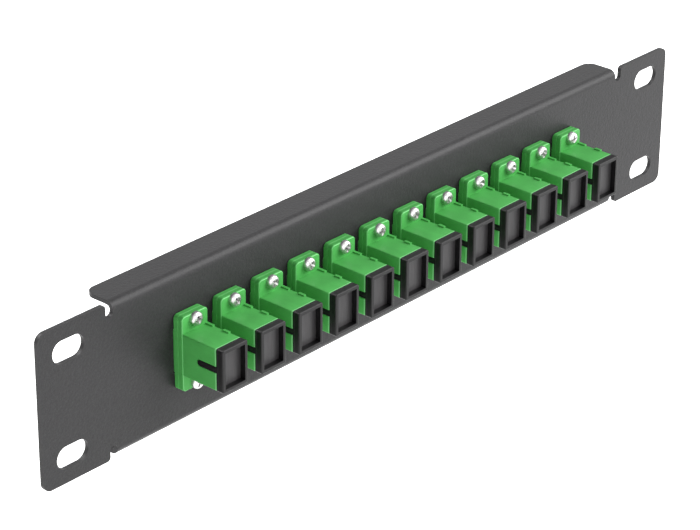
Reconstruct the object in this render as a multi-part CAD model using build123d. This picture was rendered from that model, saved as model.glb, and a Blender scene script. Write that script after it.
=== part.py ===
from build123d import *
import os

# Fibre patch panel: a folded steel panel with a row of simplex adapters, each closed by dust caps.
# Millimetres. X runs along the panel, the front faces -Y and Z is up.
# The origin is the centre of the rack slot pattern, on the rear face of the sheet.

# Steel panel
panel_w = 254.0
ear_h = 43.6
sheet_t = 1.2
web_w = 204.0
web_h = 43.0
fold_depth = 10.2
bend_r = 2.2
relief_w = 2.5
relief_depth = 3.9
ear_outer_r = 2.6
ear_inner_r = 1.0
fold_corner_r = 3.0

# Rack slots in the ears
slot_pitch_x = 234.2
slot_pitch_z = 29.2
slot_l = 10.5
slot_h = 6.2

# Row of adapters and their cut-outs
port_count = 12
port_pitch = 14.0
cutout_clear = 0.2
cutout_r = 0.5

# Adapter housing: two equal halves welded at a plane in the middle of the flange
body_w = 9.0
body_h = 11.8
body_len = 13.3
body_edge_r = 0.35
flange_w = 9.3
flange_h = 21.2
flange_t = 1.6
flange_r = 1.2
flange_bevel = 0.25
weld_bevel = 0.12
port_w = 7.5
port_h = 9.1
mouth_bevel = 0.3
key_h = 1.9
key_len = 6.8

# Clip ribs along one edge of the top and bottom faces, as distances from the flange
rib_w = 0.8
rib_rise = 0.35
long_rib_len = 2.5
short_rib_start = 5.9
short_rib_len = 2.1

# Latch insert trapped between the two halves
seat_step = 0.3
seat_t = 1.0
seat_clear = 0.05
arm_w = 3.0
arm_t = 0.7
arm_len = 8.2
arm_clear = 0.2
hook_reach = 0.45
hook_len = 0.9
hook_ramp = 0.35
holder_d = 4.5
holder_lip_t = 0.7
holder_lip_d = 2.7
holder_gap = 0.1

# Split alignment sleeve
sleeve_d = 3.2
sleeve_bore_d = 2.5
sleeve_len = 11.4
sleeve_slit = 0.5
sleeve_clear = 0.05

# Dust cap
cap_w = 9.1
cap_h = 12.1
cap_depth = 2.2
cap_corner_r = 0.6
cap_edge_r = 0.3
cap_rim = 1.0
cap_recess = 1.7
cap_gap = 0.05
plug_clear = 0.1
plug_len = 7.0
plug_wall = 0.8
plug_web = 0.8
plug_corner_r = 0.4
key_rib_clear = 0.2

# Fasteners
screw_pitch = 18.0
screw_hole_d = 2.2
screw_d = 1.9
screw_len = 8.0
head_d = 3.8
head_t = 1.5
head_dome_r = 0.9
cross_w = 0.55
cross_span = 2.1
cross_depth = 0.8
nut_af = 4.0
nut_t = 1.6
nut_hole_d = 2.0

weld_y = -sheet_t - flange_t
port_xs = [(i - (port_count - 1) / 2) * port_pitch for i in range(port_count)]
screw_zs = (-screw_pitch / 2, screw_pitch / 2)
overcut = 1.0


def block(sketch, start, length):
    """Extrude a front-view sketch towards the front, from a distance ahead of the origin plane."""
    return extrude(Plane.XZ.offset(start) * sketch, length)


def channel_section():
    """Web and two folded edges, drawn with the depth along local X and the height along local Y."""
    outer = Pos(fold_depth / 2 - sheet_t, 0) * Rectangle(fold_depth, web_h)
    outer = fillet(outer.vertices().group_by(Axis.X)[0], bend_r)
    hollow = Pos(fold_depth / 2, 0) * Rectangle(fold_depth, web_h - 2 * sheet_t)
    hollow = fillet(hollow.vertices().group_by(Axis.X)[0], bend_r - sheet_t)
    return outer - hollow


def ear(side):
    """Flat ear beside the folded web: larger radii outside, smaller ones at the bend relief."""
    inner_x = web_w / 2 + relief_w
    width = panel_w / 2 - inner_x
    outline = Rectangle(width, ear_h)
    outline = fillet(outline.vertices().group_by(Axis.X)[-1], ear_outer_r)
    outline = fillet(outline.vertices().group_by(Axis.X)[0], ear_inner_r)
    outline = Pos(inner_x + width / 2, 0) * outline
    return outline if side > 0 else mirror(outline, about=Plane.YZ)


def bend_reliefs():
    """Round-ended notches that part the ears from the folded edges."""
    notches = Sketch()
    bottom = ear_h / 2 - relief_depth
    for side in (-1, 1):
        for up in (-1, 1):
            x = side * (web_w / 2 + relief_w / 2)
            notches += Pos(x, up * (bottom + relief_w / 2)) * Circle(relief_w / 2)
            notches += Pos(x, up * (bottom + relief_w / 2 + ear_h / 2)) * Rectangle(relief_w, ear_h)
    return notches


def front_sheet():
    """Flat face of the panel, as far as the bends."""
    flat_h = web_h - 2 * bend_r
    sheet = Rectangle(web_w + 2 * relief_w + 2 * overcut, flat_h)
    for side in (-1, 1):
        sheet += ear(side)
    return sheet - bend_reliefs()


def panel_openings():
    """Rack slots, adapter cut-outs and screw holes."""
    cuts = Sketch()
    cutout_w = body_w + 2 * cutout_clear
    cutout_h = body_h + 2 * (rib_rise + cutout_clear)
    for x in (-slot_pitch_x / 2, slot_pitch_x / 2):
        for z in (-slot_pitch_z / 2, slot_pitch_z / 2):
            cuts += Pos(x, z) * SlotOverall(slot_l, slot_h)
    for x in port_xs:
        cuts += Pos(x, 0) * RectangleRounded(cutout_w, cutout_h, cutout_r)
        for z in screw_zs:
            cuts += Pos(x, z) * Circle(screw_hole_d / 2)
    return cuts


def make_panel():
    channel = extrude(Plane.YZ * channel_section(), web_w / 2, both=True)
    panel = channel + block(front_sheet(), 0, sheet_t)
    panel -= block(panel_openings(), -overcut, sheet_t + 2 * overcut)
    rear_corners = panel.edges().filter_by(Axis.Z).group_by(Axis.Y)[-1]
    return fillet(rear_corners, fold_corner_r)


def clip_ribs():
    """Low ribs along the +X edge of the top and bottom faces."""
    ribs = []
    for up in (-1, 1):
        centre = Pos(body_w / 2 - rib_w / 2, up * body_h / 2)
        for start, length in ((0, long_rib_len), (short_rib_start, short_rib_len)):
            ribs.append(block(centre * Rectangle(rib_w, 2 * rib_rise), flange_t + start, length))
    return ribs


def key_bar(clearance):
    """Round-ended bar through the -X wall: the key slot's shape, shrunk by a clearance all round."""
    outline = Pos(-body_len, 0) * SlotOverall(2 * (key_len - clearance), key_h - 2 * clearance)
    return extrude(Plane.YZ.offset(-body_w / 2 - overcut) * outline, (body_w - port_w) / 2 + 2 * overcut)


def make_housing():
    """Front half of an adapter, with the weld plane at Y = 0 and the mouth towards -Y."""
    flange = block(RectangleRounded(flange_w, flange_h, flange_r), 0, flange_t)
    flange = chamfer(flange.faces().sort_by(Axis.Y)[0].outer_wire().edges(), flange_bevel)
    flange = chamfer(flange.faces().sort_by(Axis.Y)[-1].outer_wire().edges(), weld_bevel)
    body = block(RectangleRounded(body_w, body_h, body_edge_r), weld_bevel, body_len - weld_bevel)
    body = chamfer(body.faces().sort_by(Axis.Y)[0].outer_wire().edges(), mouth_bevel)
    half = flange + body
    for rib in clip_ribs():
        half += rib
    half -= block(Rectangle(port_w, port_h), -overcut, body_len + 2 * overcut)
    half -= block(Rectangle(port_w + 2 * seat_step, port_h + 2 * seat_step), -overcut, seat_t + overcut)
    half -= key_bar(0)
    for z in screw_zs:
        half -= block(Pos(0, z) * Circle(screw_hole_d / 2), -overcut, flange_t + 2 * overcut)
    return half


def latch_arm():
    """Upper arm with an inward hook, drawn as a side profile and extruded across its width."""
    top = port_h / 2 - plug_clear - plug_wall - arm_clear
    low = top - arm_t
    tip = -arm_len
    profile = Polyline(
        (0, low),
        (0, top),
        (tip, top),
        (tip, low),
        (tip + hook_ramp, low - hook_reach),
        (tip + hook_len, low - hook_reach),
        (tip + hook_len, low),
        close=True,
    )
    return extrude(Plane.YZ * make_face(profile), arm_w / 2, both=True)


def make_insert():
    """Latch insert of a front half: base plate, sleeve holder and two latch arms."""
    width = port_w + 2 * seat_step - 2 * seat_clear
    height = port_h + 2 * seat_step - 2 * seat_clear
    pocket_len = sleeve_len / 2 + holder_gap
    insert = block(Rectangle(width, height), 0, seat_t)
    insert += block(Circle(holder_d / 2), 0, pocket_len + holder_lip_t)
    arm = latch_arm()
    insert += arm
    insert += mirror(arm, about=Plane.XY)
    insert -= block(Circle(sleeve_d / 2 + sleeve_clear), -overcut, pocket_len + overcut)
    insert -= block(Circle(holder_lip_d / 2), 0, pocket_len + holder_lip_t + overcut)
    return insert


def make_sleeve():
    """Split ceramic sleeve, centred on the weld plane, with its slit on top."""
    ring = Circle(sleeve_d / 2) - Circle(sleeve_bore_d / 2)
    ring -= Pos(0, sleeve_d / 2) * Rectangle(sleeve_slit, sleeve_d)
    return block(ring, -sleeve_len / 2, sleeve_len)


def make_cap():
    """Dust cap of a front port: a recessed collar, a hollow plug and a rib that fills the key slot."""
    seat = body_len + cap_gap
    collar = block(RectangleRounded(cap_w, cap_h, cap_corner_r), seat, cap_depth)
    collar = fillet(collar.faces().sort_by(Axis.Y)[0].outer_wire().edges(), cap_edge_r)
    inner_w = cap_w - 2 * cap_rim
    inner_h = cap_h - 2 * cap_rim
    recess = block(Rectangle(inner_w, inner_h), seat + cap_depth - cap_recess, cap_recess + overcut)
    plug_w = port_w - 2 * plug_clear
    plug_h = port_h - 2 * plug_clear
    plug = block(RectangleRounded(plug_w, plug_h, plug_corner_r), seat - plug_len, plug_len)
    plug = chamfer(plug.faces().sort_by(Axis.Y)[-1].outer_wire().edges(), plug_corner_r / 2)
    web_back = seat + cap_depth - cap_recess - plug_web
    hollow = block(
        Rectangle(plug_w - 2 * plug_wall, plug_h - 2 * plug_wall),
        seat - plug_len - overcut,
        web_back - seat + plug_len + overcut,
    )
    key_rib = key_bar(key_rib_clear) & block(Rectangle(cap_w, cap_h), 0, seat + (cap_depth - cap_recess) / 2)
    return collar + plug + key_rib - recess - hollow


def make_screw():
    """Pan-head screw with a cross recess, its head seated on the front face of the flange."""
    head = block(Circle(head_d / 2), flange_t, head_t)
    head = fillet(head.faces().sort_by(Axis.Y)[0].outer_wire().edges(), head_dome_r)
    screw = head + block(Circle(screw_d / 2), flange_t - screw_len, screw_len)
    cross = Rectangle(cross_span, cross_w) + Rectangle(cross_w, cross_span)
    return screw - block(cross, flange_t + head_t - cross_depth, cross_depth + overcut)


def make_nut():
    """Hexagon nut on the rear face of the sheet."""
    hexagon = RegularPolygon(nut_af / 2, 6, major_radius=False)
    rear_face = -flange_t - sheet_t
    return block(hexagon - Circle(nut_hole_d / 2), rear_face - nut_t, nut_t)


def in_row(shape, heights=(0,)):
    """Copies of a shape made on the weld plane, one for each port and each given height."""
    return [Pos(x, weld_y, z) * shape for x in port_xs for z in heights]


def save(name, shape):
    export_step(shape, os.path.join("parts", name + ".step"))


def save_each(name, copies):
    for number, copy in enumerate(copies, start=1):
        save(name.format(number), copy)


def save_group(name, copies):
    save(name, Compound(children=copies))


os.makedirs("parts", exist_ok=True)
save("panel", make_panel())

front_half = make_housing()
rear_half = mirror(front_half, about=Plane.XZ)
save_each("adapter_{:02d}_front_housing", in_row(front_half))
save_each("adapter_{:02d}_rear_housing", in_row(rear_half))

front_insert = make_insert()
rear_insert = mirror(front_insert, about=Plane.XZ)
save_group("front_latch_inserts", in_row(front_insert))
save_group("rear_latch_inserts", in_row(rear_insert))
save_group("alignment_sleeves", in_row(make_sleeve()))

front_cap = make_cap()
rear_cap = mirror(front_cap, about=Plane.XZ)
save_each("front_cap_{:02d}", in_row(front_cap))
save_each("rear_cap_{:02d}", in_row(rear_cap))

save_group("screws", in_row(make_screw(), screw_zs))
save_group("nuts", in_row(make_nut(), screw_zs))
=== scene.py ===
import math
from functools import cached_property

import bmesh
import bpy
from mathutils import Matrix, Vector


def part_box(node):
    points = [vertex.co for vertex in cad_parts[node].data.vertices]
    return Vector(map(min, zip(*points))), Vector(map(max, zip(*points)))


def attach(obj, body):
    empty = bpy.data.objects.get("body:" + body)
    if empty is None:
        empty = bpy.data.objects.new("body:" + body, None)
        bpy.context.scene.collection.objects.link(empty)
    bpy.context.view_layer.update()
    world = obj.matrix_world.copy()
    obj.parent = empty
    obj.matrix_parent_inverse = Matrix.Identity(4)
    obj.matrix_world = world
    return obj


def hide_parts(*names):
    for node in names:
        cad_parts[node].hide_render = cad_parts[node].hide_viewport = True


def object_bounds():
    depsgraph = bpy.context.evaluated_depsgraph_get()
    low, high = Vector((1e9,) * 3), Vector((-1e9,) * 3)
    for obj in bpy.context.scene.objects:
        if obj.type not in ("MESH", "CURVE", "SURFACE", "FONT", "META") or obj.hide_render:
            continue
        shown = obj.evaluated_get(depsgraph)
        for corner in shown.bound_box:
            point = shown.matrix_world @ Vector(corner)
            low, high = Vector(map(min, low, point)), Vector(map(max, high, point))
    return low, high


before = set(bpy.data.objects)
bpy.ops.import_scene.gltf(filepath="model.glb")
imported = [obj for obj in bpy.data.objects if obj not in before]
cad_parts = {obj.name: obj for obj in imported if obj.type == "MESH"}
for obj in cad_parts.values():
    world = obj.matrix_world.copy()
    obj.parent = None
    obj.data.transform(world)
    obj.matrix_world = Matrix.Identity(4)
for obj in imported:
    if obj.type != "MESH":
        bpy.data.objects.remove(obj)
cad_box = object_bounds()

MM = 0.001
X, Y, Z = range(3)

# Camera: place, turn in degrees, lens and sensor in millimetres, and clipping distances in metres
CAMERA_PLACE = Vector((-518.21, -447.22, 329.23)) * MM
CAMERA_AZIMUTH = -48.458
CAMERA_ELEVATION = 26.064
CAMERA_ROLL = 0.393
CAMERA_LENS = 143.58
CAMERA_SENSOR = 36.0
CAMERA_CLIP = (0.01, 20.0)

# Lamps: name, place, side of the square in metres, and power in watts
LAMPS = [
    ("key", (1.55, -1.45, 1.40), 2.2, 118.0),
    ("fill", (-0.8, -0.9, 0.45), 1.0, 6.0),
    ("back", (-0.4, 1.6, 1.2), 1.4, 58.0),
]
AMBIENT = 0.11

# Floor: a plain sheet below the panel
FLOOR_DROP = 60 * MM
FLOOR_SIZE = 6.0
FLOOR_ROUGHNESS = 0.9
FLOOR_LIFT = 0.70

# Colours, as linear values
STEEL_COAT = (0.0245, 0.0240, 0.0250)
GREEN = (0.070, 0.350, 0.078)
INSERT_GREEN = (0.085, 0.46, 0.10)
# Paler green of the housings' rounded edges: a painted highlight on those edges
GREEN_EDGE_PAINTED_HIGHLIGHT = (0.130, 0.480, 0.142)
# Rim green: a painted highlight along the housings' mouths and the flange's front edge
GREEN_RIM_PAINTED_HIGHLIGHT = (0.17, 0.54, 0.19)
CAP_BLACK = (0.0045, 0.0044, 0.0048)
# Paler tone of the caps' recess floor: painted light on the black plastic
CAP_FLOOR_PAINTED_LIGHT = (0.043, 0.0415, 0.043)
CERAMIC = (0.86, 0.85, 0.80)
SCREW_NICKEL = (0.63, 0.615, 0.62)
NUT_NICKEL = (0.66, 0.65, 0.63)
WHITE = (1.0, 1.0, 1.0)
FLOOR_WHITE = (0.90, 0.90, 0.90)

# Gloss of each surface: the least and the most roughness, and the specular level
COAT_ROUGHNESS = (0.38, 0.46)
COAT_SPECULAR = 0.185
PLASTIC_ROUGHNESS = (0.39, 0.51)
PLASTIC_SPECULAR = 0.16
EDGE_ROUGHNESS = (0.15, 0.27)
EDGE_SPECULAR = 0.55
CAP_ROUGHNESS = (0.35, 0.47)
CAP_SPECULAR = 0.23
SCREW_ROUGHNESS = (0.25, 0.43)
NUT_ROUGHNESS = (0.26, 0.44)
CERAMIC_ROUGHNESS = (0.12, 0.18)

# Size of the grain, lines and clouds in each surface
COAT_GRAIN = 0.45 * MM
COAT_PEEL = 0.85 * MM
COAT_CLOUD = 30 * MM
PLASTIC_GRAIN = 0.5 * MM
PLASTIC_FLOW = 3.5 * MM
CAP_FLOW = 5 * MM
CAP_LINES = 0.5 * MM
METAL_MARKS = 0.35 * MM
CERAMIC_CLOUD = 1.5 * MM
FLOOR_CLOUD = 0.4

# Bump of the grain and marks: how high they stand, and how strongly they show
COAT_GRAIN_BUMP = (0.05 * MM, 0.6)
COAT_PEEL_BUMP = (0.12 * MM, 0.5)
PLASTIC_GRAIN_BUMP = (0.012 * MM, 0.30)
METAL_MARKS_BUMP = (0.01 * MM, 0.25)

# Small rounded edges: their widths, the angle from which an edge gets one, and its steps
PANEL_EDGE = 0.18 * MM
HOUSING_EDGE = 0.17 * MM
CAP_EDGE = 0.08 * MM
EDGE_ANGLE = math.radians(35)
EDGE_STEPS = 2

# Dust caps: depth of the recess behind the outer face, and the band taken as its floor, where painted
# light makes it paler
CAP_RECESS = 1.7 * MM
PAINTED_LIGHT_FLOOR_BAND = 0.04 * MM

# Housings: painted highlight bands behind the mouth's rim and the flange's front face, as (near, far)
# distances
MOUTH_HIGHLIGHT_BAND = (0.18 * MM, 0.50 * MM)
FLANGE_HIGHLIGHT_BAND = (0.01 * MM, 0.13 * MM)

# Screws: pan head, cross recess and thread, and the turn in degrees from one screw to the next
HEAD_RADIUS = 1.9 * MM
HEAD_HEIGHT = 1.5 * MM
HEAD_DOME = 0.95 * MM
RECESS_SPAN = 2.3 * MM
RECESS_WIDTH = 0.52 * MM
RECESS_DEPTH = 1.0 * MM
RECESS_TAPER = 0.45
SHANK_RADIUS = 0.95 * MM
THREAD_LENGTH = 2.4 * MM
THREAD_PITCH = 0.4 * MM
THREAD_DEPTH = 0.22 * MM
SCREW_TURN = 37.0

# Nuts: a hexagon with both faces chamfered, and a small edge at the rear of the bore
NUT_FLATS = 4.0 * MM
NUT_HEIGHT = 1.6 * MM
NUT_BORE = 1.0 * MM
NUT_BORE_EDGE = 0.15 * MM
NUT_FACE = 1.85 * MM
NUT_CHAMFER_SLOPE = math.tan(math.radians(30))

# Meshes of the screws and nuts: points around, steps along, and the angle of a sharp edge
ROUND_POINTS = 48
THREAD_POINTS = 24
THREAD_STEPS_PER_PITCH = 6
DOME_STEPS = 10
SAME_POINT = 0.001 * MM
SHARP_ANGLE = math.radians(25)

# The mix node's sockets for colours: its two inputs and its result
MIX_FIRST, MIX_SECOND, MIX_RESULT = 6, 7, 2


def fill(node, values):
    """Gives a node's inputs their values: other nodes' outputs, colours or numbers."""
    for key, value in values.items():
        socket = node.inputs[key]
        if isinstance(value, bpy.types.NodeSocket):
            node.id_data.links.new(value, socket)
        elif isinstance(value, tuple):
            socket.default_value = (*value, 1.0)
        else:
            socket.default_value = value


class Nodes:
    """The node tree of a material or of the world, with short calls for its nodes."""

    def __init__(self, owner, shader):
        owner.use_nodes = True
        self.owner = owner
        self.tree = owner.node_tree
        self.shader = self.tree.nodes[shader]

    @cached_property
    def place(self):
        """Where a point lies in its own object, in metres."""
        return self.add("ShaderNodeTexCoord").outputs["Object"]

    def add(self, kind, inputs=None, **settings):
        """A new node of a kind, with its inputs and settings."""
        node = self.tree.nodes.new(kind)
        for key, value in settings.items():
            setattr(node, key, value)
        fill(node, inputs or {})
        return node

    def noise(self, size, detail=2.0, roughness=0.5, stretch=None):
        """Noise whose features are about the given size in metres, divided by any stretch."""
        place = self.place
        if stretch:
            mapping = self.add("ShaderNodeMapping", {"Vector": place, "Scale": Vector(stretch)})
            place = mapping.outputs["Vector"]
        inputs = {"Vector": place, "Scale": 1.0 / size, "Detail": detail, "Roughness": roughness}
        return self.add("ShaderNodeTexNoise", inputs).outputs["Fac"]

    def tones(self, source, colour, darkest, lightest, span=(0.30, 0.70)):
        """Tones of a colour, from its darkest to its lightest share, over a span of the source."""
        ramp = self.add("ShaderNodeValToRGB", {"Fac": source})
        for element, share, position in zip(ramp.color_ramp.elements, (darkest, lightest), span):
            element.position = position
            element.color = (*(channel * share for channel in colour), 1.0)
        return ramp.outputs["Color"]

    def mix(self, share, first, second):
        """The first colour where the share is 0, and the second where it is 1."""
        inputs = {"Factor": share, MIX_FIRST: first, MIX_SECOND: second}
        return self.add("ShaderNodeMix", inputs, data_type="RGBA").outputs[MIX_RESULT]

    def in_band(self, start, end):
        """1 where the surface lies between two depths along Y, and 0 elsewhere."""
        split = self.add("ShaderNodeSeparateXYZ", {"Vector": self.place})
        inputs = {0: split.outputs["Y"], 1: (start + end) / 2, 2: abs(end - start) / 2}
        return self.add("ShaderNodeMath", inputs, operation="COMPARE").outputs["Value"]

    def spread(self, source, low, high):
        """The source value, from 0 to 1, moved to a range."""
        inputs = {"Value": source, "To Min": low, "To Max": high}
        return self.add("ShaderNodeMapRange", inputs).outputs["Result"]

    def bump(self, *layers):
        """Bump from (height, distance, strength) layers, one over the other."""
        normal = None
        for height, distance, strength in layers:
            inputs = {"Height": height, "Distance": distance, "Strength": strength}
            bump = self.add("ShaderNodeBump", inputs)
            if normal:
                fill(bump, {"Normal": normal})
            normal = bump.outputs["Normal"]
        return normal

    def seen_ray(self):
        """1 for the rays that show the background: camera, glossy and transmission."""
        path = self.add("ShaderNodeLightPath")
        seen = path.outputs["Is Camera Ray"]
        for ray in ("Is Glossy Ray", "Is Transmission Ray"):
            inputs = {0: seen, 1: path.outputs[ray]}
            seen = self.add("ShaderNodeMath", inputs, operation="MAXIMUM").outputs["Value"]
        return seen

    def shaded(self, values):
        """The material or world, once its shader's inputs have these values."""
        fill(self.shader, values)
        return self.owner


def material_nodes(name):
    return Nodes(bpy.data.materials.new(name), "Principled BSDF")


def powder_coat():
    """Dark grey powder coat with a fine orange-peel grain."""
    nodes = material_nodes("powder_coat")
    grain = nodes.noise(COAT_GRAIN, detail=3.0, roughness=0.6)
    peel = nodes.noise(COAT_PEEL)
    cloud = nodes.noise(COAT_CLOUD)
    return nodes.shaded({
        "Base Color": nodes.tones(grain, STEEL_COAT, darkest=0.86, lightest=1.16, span=(0.35, 0.68)),
        "Roughness": nodes.spread(cloud, *COAT_ROUGHNESS),
        "Specular IOR Level": COAT_SPECULAR,
        "Normal": nodes.bump((peel, *COAT_PEEL_BUMP), (grain, *COAT_GRAIN_BUMP)),
    })


def moulded(nodes, colour, roughness, specular):
    """Plastic with a fine spark-eroded grain in its roughness and bump."""
    grain = nodes.noise(PLASTIC_GRAIN)
    return nodes.shaded({
        "Base Color": colour,
        "Roughness": nodes.spread(grain, *roughness),
        "Specular IOR Level": specular,
        "Normal": nodes.bump((grain, *PLASTIC_GRAIN_BUMP)),
    })


def green_plastic(name, colour, roughness=PLASTIC_ROUGHNESS, specular=PLASTIC_SPECULAR, bands=()):
    """Green plastic with faint flow variation, and a paler rim green in bands between some depths, as
    a painted highlight.
    """
    nodes = material_nodes(name)
    flow = nodes.noise(PLASTIC_FLOW, detail=4.0, roughness=0.6, stretch=(1.0, 0.45, 1.0))
    tone = nodes.tones(flow, colour, darkest=0.91, lightest=1.07)
    for start, end in bands:
        # Each band gets the rim green, a painted highlight
        tone = nodes.mix(nodes.in_band(start, end), tone, GREEN_RIM_PAINTED_HIGHLIGHT)
    return moulded(nodes, tone, roughness, specular)


def cap_plastic(name, outer_face, inward):
    """Black plastic whose recess floor is painted paler, as painted light on it, with fine upright
    flow lines.
    """
    nodes = material_nodes(name)
    flow = nodes.noise(CAP_FLOW)
    lines = nodes.noise(CAP_LINES, detail=3.0, roughness=0.6, stretch=(1.6, 1.0, 0.08))
    black = nodes.tones(flow, CAP_BLACK, darkest=0.90, lightest=1.10)
    # The recess floor's paler tone is painted light, with fine upright lines in it
    pale = nodes.tones(lines, CAP_FLOOR_PAINTED_LIGHT, darkest=0.80, lightest=1.12)
    floor = outer_face + inward * CAP_RECESS
    painted_light_on_floor = nodes.in_band(floor - PAINTED_LIGHT_FLOOR_BAND, floor + PAINTED_LIGHT_FLOOR_BAND)
    return moulded(nodes, nodes.mix(painted_light_on_floor, black, pale), CAP_ROUGHNESS, CAP_SPECULAR)


def plated_metal(name, colour, roughness):
    """Bright nickel plate with fine tumbling marks."""
    nodes = material_nodes(name)
    marks = nodes.noise(METAL_MARKS, detail=3.0, roughness=0.65)
    return nodes.shaded({
        "Base Color": nodes.tones(marks, colour, darkest=0.82, lightest=1.1, span=(0.30, 0.75)),
        "Metallic": 1.0,
        "Roughness": nodes.spread(marks, *roughness),
        "Normal": nodes.bump((marks, *METAL_MARKS_BUMP)),
    })


def white_ceramic():
    """Polished zirconia: warm white with a very faint cloud."""
    nodes = material_nodes("ceramic")
    cloud = nodes.noise(CERAMIC_CLOUD)
    return nodes.shaded({
        "Base Color": nodes.tones(cloud, CERAMIC, darkest=0.96, lightest=1.0),
        "Roughness": nodes.spread(cloud, *CERAMIC_ROUGHNESS),
    })


def named(start, end=""):
    """CAD nodes whose names start and end as given, in order."""
    return sorted(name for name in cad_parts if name.startswith(start) and name.endswith(end))


def front_of(name):
    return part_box(name)[0][Y]


def rear_of(name):
    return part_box(name)[1][Y]


def screw_seat():
    """The flange's front face, where the screw heads sit."""
    return front_of("screws") + HEAD_HEIGHT


def dress(names, material, edge=None, edge_material=None):
    """Gives CAD nodes a material and, where asked, a small rounded edge with its own material."""
    for name in names:
        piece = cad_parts[name]
        piece.data.materials.clear()
        piece.data.materials.append(material)
        if edge_material:
            piece.data.materials.append(edge_material)
        if edge:
            bevel = piece.modifiers.new("edge", "BEVEL")
            bevel.width = edge
            bevel.segments = EDGE_STEPS
            bevel.limit_method = "ANGLE"
            bevel.angle_limit = EDGE_ANGLE
            bevel.use_clamp_overlap = False
            bevel.material = 1 if edge_material else -1


def band_behind(face, inward, distances):
    return [face + inward * distance for distance in distances]


def dress_housings():
    """Green halves with glossy rounded edges in a paler green as a painted highlight, and painted
    highlight bands at the mouths and at the flange's front edge.
    """
    # The rounded edges get a paler green, a painted highlight, and a glossier finish
    painted_highlight_edge_plastic = green_plastic("green_edge_painted_highlight", GREEN_EDGE_PAINTED_HIGHLIGHT, EDGE_ROUGHNESS, EDGE_SPECULAR)
    # Bands behind the mouths and the flange's front face, which get a painted highlight
    front_mouth_highlight = band_behind(front_of("adapter_01_front_housing"), 1, MOUTH_HIGHLIGHT_BAND)
    flange = band_behind(screw_seat(), 1, FLANGE_HIGHLIGHT_BAND)
    rear_mouth_highlight = band_behind(rear_of("adapter_01_rear_housing"), -1, MOUTH_HIGHLIGHT_BAND)
    front_plastic = green_plastic("front_green", GREEN, bands=[front_mouth_highlight, flange])
    rear_plastic = green_plastic("rear_green", GREEN, bands=[rear_mouth_highlight])
    dress(named("adapter_", "_front_housing"), front_plastic, HOUSING_EDGE, painted_highlight_edge_plastic)
    dress(named("adapter_", "_rear_housing"), rear_plastic, HOUSING_EDGE, painted_highlight_edge_plastic)


def dress_caps():
    front_plastic = cap_plastic("front_cap_plastic", front_of("front_cap_01"), 1)
    rear_plastic = cap_plastic("rear_cap_plastic", rear_of("rear_cap_01"), -1)
    dress(named("front_cap_"), front_plastic, CAP_EDGE)
    dress(named("rear_cap_"), rear_plastic, CAP_EDGE)


def placed(name, data):
    """Object with the given data, in the scene."""
    thing = bpy.data.objects.new(name, data)
    bpy.context.collection.objects.link(thing)
    return thing


def rings_mesh(rings, closed=True):
    """Mesh through rings of equally many points, with its end rings filled if it is closed."""
    mesh = bmesh.new()
    loops = [[mesh.verts.new(point) for point in ring] for ring in rings]
    count = len(rings[0])
    for near, far in zip(loops, loops[1:]):
        for i in range(count):
            j = (i + 1) % count
            mesh.faces.new((near[i], near[j], far[j], far[i]))
    if closed:
        mesh.faces.new(reversed(loops[0]))
        mesh.faces.new(loops[-1])
    return mesh


def finished(mesh, name):
    """Mesh data from a bmesh, with its normals turned outwards."""
    bmesh.ops.recalc_face_normals(mesh, faces=mesh.faces)
    data = bpy.data.meshes.new(name)
    mesh.to_mesh(data)
    mesh.free()
    return data


def on_circle(radius, depth, turn):
    """Point on a circle about the Y axis."""
    return radius * math.cos(turn), depth, radius * math.sin(turn)


def turns(count):
    """Evenly spaced angles once around."""
    return [2 * math.pi * i / count for i in range(count)]


def circle(radius, depth, count=ROUND_POINTS):
    return [on_circle(radius, depth, turn) for turn in turns(count)]


def recess_cutter():
    """Cross taper: full span at the head's top, tip in the head, and mouth as far ahead of it."""
    arm, half = RECESS_SPAN / 2, RECESS_WIDTH / 2
    quarter = [Vector(point) for point in ((arm, -half), (arm, half), (half, half))]
    cross = [Matrix.Rotation(math.radians(90 * k), 2) @ point for k in range(4) for point in quarter]
    rings = []
    for scale, side in ((2.0 - RECESS_TAPER, -1), (RECESS_TAPER, 1)):
        depth = -HEAD_HEIGHT + side * RECESS_DEPTH
        rings.append([(point.x * scale, depth, point.y * scale) for point in cross])
    return placed("recess_cutter", finished(rings_mesh(rings), "recess_cutter"))


def pan_head():
    """Domed head, its seat on Y = 0 and its top towards -Y, with the cross recess cut in."""
    side = HEAD_HEIGHT - HEAD_DOME
    rings = [circle(SHANK_RADIUS, 0), circle(HEAD_RADIUS, 0), circle(HEAD_RADIUS, -side)]
    for k in range(1, DOME_STEPS + 1):
        turn = math.radians(90 * k / DOME_STEPS)
        radius = HEAD_RADIUS - HEAD_DOME * (1 - math.cos(turn))
        rings.append(circle(radius, -side - HEAD_DOME * math.sin(turn)))
    head = placed("head", finished(rings_mesh(rings), "head"))
    cutter = recess_cutter()
    cut = head.modifiers.new("recess", "BOOLEAN")
    cut.operation = "DIFFERENCE"
    cut.object = cutter
    cut_head = head.evaluated_get(bpy.context.evaluated_depsgraph_get())
    mesh = bpy.data.meshes.new_from_object(cut_head)
    bpy.data.objects.remove(cutter)
    bpy.data.objects.remove(head)
    return mesh


def thread_ring(depth):
    """Ring across the thread, whose ridge is a helix of the thread's pitch."""
    ring = []
    for i, turn in enumerate(turns(THREAD_POINTS)):
        phase = (depth / THREAD_PITCH + i / THREAD_POINTS) % 1.0
        radius = SHANK_RADIUS - THREAD_DEPTH * abs(2 * phase - 1)
        ring.append(on_circle(radius, depth, turn))
    return ring


def threaded_shank(length):
    """Shank behind the head, with a helical thread on its last stretch."""
    start = length - THREAD_LENGTH
    steps = round(THREAD_LENGTH / THREAD_PITCH * THREAD_STEPS_PER_PITCH)
    rings = [circle(SHANK_RADIUS, 0, THREAD_POINTS)]
    rings += [thread_ring(start + THREAD_LENGTH * k / steps) for k in range(steps + 1)]
    return finished(rings_mesh(rings), "shank")


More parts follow.
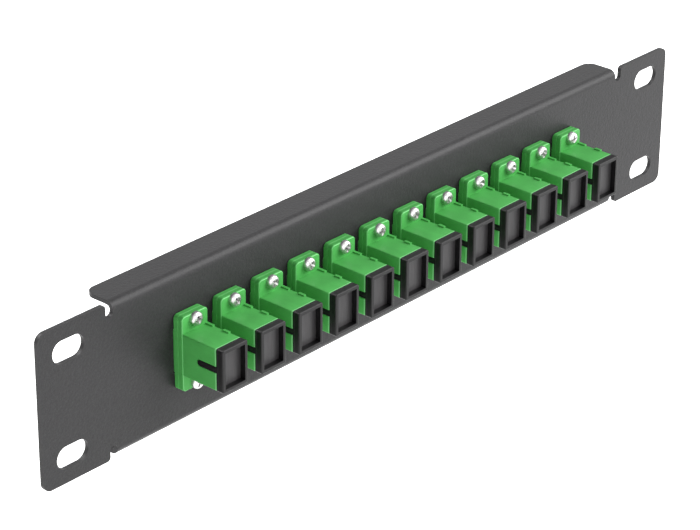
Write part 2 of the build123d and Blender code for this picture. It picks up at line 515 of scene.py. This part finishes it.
def hexagon_ring(depth, chamfer_side):
    """Ring along the hexagon's flanks, dipped at the corners where the face is chamfered."""
    ring = []
    for turn in turns(ROUND_POINTS):
        off_flat = (turn + math.pi / 6) % (math.pi / 3) - math.pi / 6
        radius = NUT_FLATS / 2 / math.cos(off_flat)
        dip = max(0.0, radius - NUT_FACE) * NUT_CHAMFER_SLOPE * chamfer_side
        ring.append(on_circle(radius, depth + dip, turn))
    return ring


def hexagon_nut():
    """Nut with its bearing face on Y = 0 and its top towards +Y."""
    rings = [
        circle(NUT_BORE, 0),
        circle(NUT_FACE, 0),
        hexagon_ring(0, 1),
        hexagon_ring(NUT_HEIGHT, -1),
        circle(NUT_FACE, NUT_HEIGHT),
        circle(NUT_BORE + NUT_BORE_EDGE, NUT_HEIGHT),
        circle(NUT_BORE, NUT_HEIGHT - NUT_BORE_EDGE),
        circle(NUT_BORE, 0),
    ]
    mesh = rings_mesh(rings, closed=False)
    bmesh.ops.remove_doubles(mesh, verts=mesh.verts, dist=SAME_POINT)
    return finished(mesh, "nut")


def fastener_places(depth, screw_turn=0.0):
    """A place for each screw line, at both ends of every flange, with a turn that grows each time."""
    low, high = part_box("screws")
    heights = (low[Z] + HEAD_RADIUS, high[Z] - HEAD_RADIUS)
    places = []
    for name in named("adapter_", "_front_housing"):
        left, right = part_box(name)
        middle = (left[X] + right[X]) / 2
        for height in heights:
            turn = math.radians(screw_turn * (len(places) + 1))
            places.append(Matrix.Translation((middle, depth, height)) @ Matrix.Rotation(turn, 4, "Y"))
    return places


def repeated(name, meshes, places, material, stands_for):
    """One piece made of copies of some meshes, each copy turned and moved to its place."""
    whole = bmesh.new()
    for place in places:
        for mesh in meshes:
            copy = mesh.copy()
            copy.transform(place)
            whole.from_mesh(copy)
            bpy.data.meshes.remove(copy)
    piece = placed(name, finished(whole, name))
    piece.data.materials.append(material)
    for face in piece.data.polygons:
        face.use_smooth = True
    piece.data.set_sharp_from_angle(angle=SHARP_ANGLE)
    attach(piece, "root")
    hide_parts(stands_for)


def add_screws():
    nickel = plated_metal("bright_nickel", SCREW_NICKEL, SCREW_ROUGHNESS)
    seat = screw_seat()
    meshes = [pan_head(), threaded_shank(rear_of("screws") - seat)]
    places = fastener_places(seat, SCREW_TURN)
    repeated("machine_screws", meshes, places, nickel, "screws")


def add_nuts():
    nickel = plated_metal("dull_nickel", NUT_NICKEL, NUT_ROUGHNESS)
    places = fastener_places(front_of("nuts"))
    repeated("hexagon_nuts", [hexagon_nut()], places, nickel, "nuts")


def add_camera():
    camera = placed("camera", bpy.data.cameras.new("camera"))
    camera.data.sensor_width = CAMERA_SENSOR
    camera.data.lens = CAMERA_LENS
    camera.data.clip_start, camera.data.clip_end = CAMERA_CLIP
    azimuth = Matrix.Rotation(math.radians(CAMERA_AZIMUTH), 4, "Z")
    tilt = Matrix.Rotation(math.radians(90 - CAMERA_ELEVATION), 4, "X")
    roll = Matrix.Rotation(math.radians(CAMERA_ROLL), 4, "Z")
    camera.matrix_world = Matrix.Translation(CAMERA_PLACE) @ azimuth @ tilt @ roll
    bpy.context.scene.camera = camera


def add_lamp(name, place, side, power):
    """Square lamp aimed at the origin."""
    lamp = placed(name, bpy.data.lights.new(name, "AREA"))
    lamp.data.shape = "SQUARE"
    lamp.data.size = side
    lamp.data.energy = power
    lamp.location = place
    lamp.rotation_euler = (-Vector(place)).to_track_quat("-Z", "Y").to_euler()


def add_world():
    """Soft even surroundings, white where they are seen or mirrored."""
    nodes = Nodes(bpy.data.worlds.new("studio"), "Background")
    strength = nodes.spread(nodes.seen_ray(), AMBIENT, 1.0)
    bpy.context.scene.world = nodes.shaded({"Color": WHITE, "Strength": strength})


def floor_sheet():
    """Pale matt floor, lifted to white where it is seen or mirrored."""
    nodes = material_nodes("floor")
    cloud = nodes.noise(FLOOR_CLOUD, detail=1.0)
    return nodes.shaded({
        "Base Color": nodes.tones(cloud, FLOOR_WHITE, darkest=0.99, lightest=1.0, span=(0.2, 0.8)),
        "Roughness": FLOOR_ROUGHNESS,
        "Specular IOR Level": 0.0,
        "Emission Color": WHITE,
        "Emission Strength": nodes.spread(nodes.seen_ray(), 0.0, FLOOR_LIFT),
    })


def add_floor():
    mesh = bpy.data.meshes.new("floor")
    half = FLOOR_SIZE / 2
    low = cad_box[0][Z] - FLOOR_DROP
    corners = [(-half, -half, low), (half, -half, low), (half, half, low), (-half, half, low)]
    mesh.from_pydata(corners, [], [(0, 1, 2, 3)])
    mesh.materials.append(floor_sheet())
    placed("floor", mesh)


dress(["panel"], powder_coat(), PANEL_EDGE)
dress_housings()
dress(["front_latch_inserts", "rear_latch_inserts"], green_plastic("insert_plastic", INSERT_GREEN))
dress_caps()
dress(["alignment_sleeves"], white_ceramic())
add_screws()
add_nuts()

add_camera()
add_world()
for name, place, side, power in LAMPS:
    add_lamp(name, place, side, power)
add_floor()

bpy.context.scene.view_settings.view_transform = "Standard"
